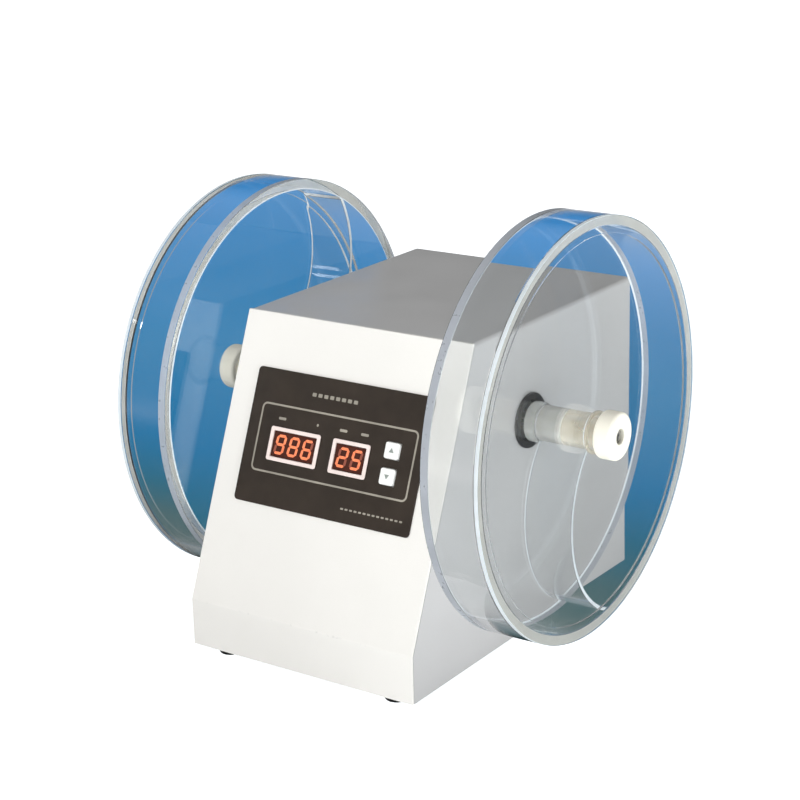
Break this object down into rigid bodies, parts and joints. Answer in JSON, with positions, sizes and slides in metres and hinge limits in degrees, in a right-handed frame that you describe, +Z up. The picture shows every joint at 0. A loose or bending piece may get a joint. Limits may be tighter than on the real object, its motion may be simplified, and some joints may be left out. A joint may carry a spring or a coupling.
{
  "type": "tablet friability tester",
  "caption": "Bench tablet friability tester: a clear tumbling drum with a curved arm on each side of a sheet-metal case with a leaning keypad front.",
  "frame": {"origin": "on the resting surface, under the middle of the case", "axes": "+Z up, the keypad front faces -Y, +X along the drum shaft towards the drum on the viewer's right"},
  "size_m": [0.345, 0.301, 0.3175],
  "materials": {
    "white_paint": "satin powder coat",
    "grey_paint": "satin powder coat",
    "zinc_sheet": "zinc plated sheet",
    "clear_acrylic": "polished clear acrylic with a blue tint",
    "ivory_nylon": "turned nylon",
    "steel": "ground",
    "aluminium": "machined",
    "brass": "machined",
    "black_rubber": "moulded",
    "black_plastic": "moulded",
    "fascia_film": "fine-textured film",
    "cream_plastic": "moulded",
    "lit_digits": "lit display",
    "white_plastic": "moulded",
    "board_green": "solder mask",
    "dark_steel": "blackened"
  },
  "bodies": {
    "case": {"front_panel": "white_paint", "cover": "grey_paint", "base_plate": "zinc_sheet", "rear_panel": "zinc_sheet", "left_rear_screw": "steel", "right_rear_screw": "steel", "front_left_foot": "black_rubber", "front_right_foot": "black_rubber", "rear_left_foot": "black_rubber", "rear_right_foot": "black_rubber", "fascia_plate": "fascia_film", "count_bezel": "cream_plastic", "time_bezel": "cream_plastic", "count_display": "lit_digits", "time_display": "lit_digits", "upper_switch": "black_plastic", "lower_switch": "black_plastic", "control_board": "board_green", "power_inlet": "black_plastic", "switch_housing": "black_plastic", "left_shaft_ring": "black_plastic", "right_shaft_ring": "black_plastic", "left_bearing_bracket": "aluminium", "right_bearing_bracket": "aluminium", "left_bearing": "steel", "right_bearing": "steel", "motor_bracket": "zinc_sheet", "gearbox": "aluminium", "motor": "dark_steel", "turn_sensor": "black_plastic", "transformer": "dark_steel", "power_board": "board_green"},
    "rotor": {"main_shaft": "steel", "drive_gear": "brass", "slotted_disc": "dark_steel", "left_collar": "dark_steel", "right_collar": "dark_steel", "left_back_disc": "clear_acrylic", "right_back_disc": "clear_acrylic", "left_rim": "clear_acrylic", "right_rim": "clear_acrylic", "left_hub": "clear_acrylic", "right_hub": "clear_acrylic", "left_arm": "clear_acrylic", "right_arm": "clear_acrylic"},
    "motor_rotor": {"pinion": "steel", "motor_shaft": "steel"},
    "left_lid": {"left_cover_disc": "clear_acrylic", "left_sleeve": "ivory_nylon"},
    "right_lid": {"right_cover_disc": "clear_acrylic", "right_sleeve": "ivory_nylon"},
    "left_knob": {"left_knob": "ivory_nylon"},
    "right_knob": {"right_knob": "ivory_nylon"},
    "upper_button": {"upper_button": "white_plastic"},
    "lower_button": {"lower_button": "white_plastic"},
    "rocker": {"power_rocker": "black_plastic"},
    "drawer": {"fuse_drawer": "black_plastic"}
  },
  "joints": [
    {"name": "drum_spin", "type": "hinge", "parent": "case", "child": "rotor", "pos_m": [0, 0, 0.167], "axis": [1, 0, 0], "continuous": true},
    {"name": "motor_spin", "type": "hinge", "parent": "case", "child": "motor_rotor", "pos_m": [0, 0, 0.095], "axis": [1, 0, 0], "continuous": true},
    {"name": "right_lid_pull", "type": "slide", "parent": "rotor", "child": "right_lid", "axis": [1, 0, 0], "range_m": [0, 0.06]},
    {"name": "left_lid_pull", "type": "slide", "parent": "rotor", "child": "left_lid", "axis": [-1, 0, 0], "range_m": [0, 0.06]},
    {"name": "right_knob_turn", "type": "hinge", "parent": "right_lid", "child": "right_knob", "pos_m": [0.16, 0, 0.167], "axis": [1, 0, 0], "continuous": true},
    {"name": "left_knob_turn", "type": "hinge", "parent": "left_lid", "child": "left_knob", "pos_m": [-0.16, 0, 0.167], "axis": [-1, 0, 0], "continuous": true},
    {"name": "upper_button_press", "type": "slide", "parent": "case", "child": "upper_button", "axis": [0, 0.9239, -0.3827], "range_m": [0, 0.0012], "stiffness_N_per_m": 400},
    {"name": "lower_button_press", "type": "slide", "parent": "case", "child": "lower_button", "axis": [0, 0.9239, -0.3827], "range_m": [0, 0.0012], "stiffness_N_per_m": 400},
    {"name": "rocker_tilt", "type": "hinge", "parent": "case", "child": "rocker", "pos_m": [0.008, 0.1451, 0.054], "axis": [1, 0, 0], "range_deg": [0, 16]},
    {"name": "drawer_slide", "type": "slide", "parent": "case", "child": "drawer", "axis": [0, 1, 0], "range_m": [0, 0.012]}
  ],
  "couplings": [
    {"joint": "motor_spin", "follows": "drum_spin", "ratio": -2}
  ]
}
